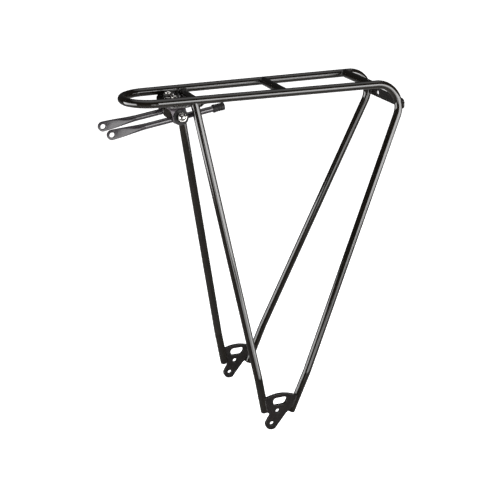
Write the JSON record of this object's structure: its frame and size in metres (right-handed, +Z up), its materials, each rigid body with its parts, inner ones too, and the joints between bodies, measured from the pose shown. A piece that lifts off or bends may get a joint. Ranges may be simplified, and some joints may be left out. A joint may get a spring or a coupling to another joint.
{
  "type": "bicycle rear rack",
  "caption": "Tubular rear luggage rack with a hooped platform, legs ending in foot plates, a lamp plate and adjustable front stays.",
  "frame": {"origin": "midway between the lower frame-bolt holes of the left and right foot plates, on the axle line side of the rack", "axes": "+X to the rear of the bicycle, +Y to its right side, +Z up; the luggage platform lies level at z = 0.41 m"},
  "size_m": [0.3684, 0.1678, 0.4236],
  "materials": {
    "frame_tube": "gloss black powder coat",
    "frame_plate": "satin black powder coat",
    "satin_bracket": "satin black coating",
    "stay_rod": "gloss black powder coat",
    "bright_hardware": "polished zinc plate",
    "black_plastic": "matte"
  },
  "bodies": {
    "rack_frame": {"main_tube": "frame_tube", "front_crossbar": "frame_tube", "middle_crossbar": "frame_tube", "rear_crossbar": "frame_tube", "front_leg_left": "frame_tube", "front_leg_right": "frame_tube", "foot_plate_left": "frame_plate", "foot_plate_right": "frame_plate", "lamp_plate": "frame_plate", "mounting_plate": "frame_plate"},
    "bracket_bolt_left_body": {"mounting_bolt_left": "bright_hardware", "mounting_washer_left": "bright_hardware", "locknut_left": "bright_hardware"},
    "bracket_left_body": {"angle_bracket_left": "satin_bracket"},
    "clamp_left_body": {"eye_bolt_left": "satin_bracket", "clamp_cup_left": "satin_bracket", "clamp_washer_left": "black_plastic", "cap_nut_left": "bright_hardware"},
    "stay_left_body": {"stay_left": "stay_rod", "stay_cap_left": "black_plastic"},
    "bracket_bolt_right_body": {"mounting_bolt_right": "bright_hardware", "mounting_washer_right": "bright_hardware", "locknut_right": "bright_hardware"},
    "bracket_right_body": {"angle_bracket_right": "satin_bracket"},
    "clamp_right_body": {"eye_bolt_right": "satin_bracket", "clamp_cup_right": "satin_bracket", "clamp_washer_right": "black_plastic", "cap_nut_right": "bright_hardware"},
    "stay_right_body": {"stay_right": "stay_rod", "stay_cap_right": "black_plastic"}
  },
  "joints": [
    {"name": "bracket_shift_left", "type": "slide", "parent": "rack_frame", "child": "bracket_bolt_left_body", "axis": [0, -1, 0], "range_m": [-0.004, 0.001]},
    {"name": "bracket_swivel_left", "type": "hinge", "parent": "bracket_bolt_left_body", "child": "bracket_left_body", "pos_m": [-0.091, -0.0137, 0.4], "axis": [0, 0, 1], "range_deg": [-4, 4]},
    {"name": "clamp_pivot_left", "type": "hinge", "parent": "bracket_left_body", "child": "clamp_left_body", "pos_m": [-0.09, -0.0223, 0.38832], "axis": [0, 0.9703, -0.2419], "range_deg": [-6, 15]},
    {"name": "stay_slide_left", "type": "slide", "parent": "clamp_left_body", "child": "stay_left_body", "axis": [0.988, 0, 0.1547], "range_m": [-0.025, 0.025]},
    {"name": "bracket_shift_right", "type": "slide", "parent": "rack_frame", "child": "bracket_bolt_right_body", "axis": [0, 1, 0], "range_m": [-0.004, 0.001]},
    {"name": "bracket_swivel_right", "type": "hinge", "parent": "bracket_bolt_right_body", "child": "bracket_right_body", "pos_m": [-0.091, 0.0137, 0.4], "axis": [0, 0, 1], "range_deg": [-4, 4]},
    {"name": "clamp_pivot_right", "type": "hinge", "parent": "bracket_right_body", "child": "clamp_right_body", "pos_m": [-0.09, 0.0223, 0.38832], "axis": [0, 0.9703, 0.2419], "range_deg": [-6, 15]},
    {"name": "stay_slide_right", "type": "slide", "parent": "clamp_right_body", "child": "stay_right_body", "axis": [0.988, 0, 0.1547], "range_m": [-0.025, 0.025]}
  ]
}
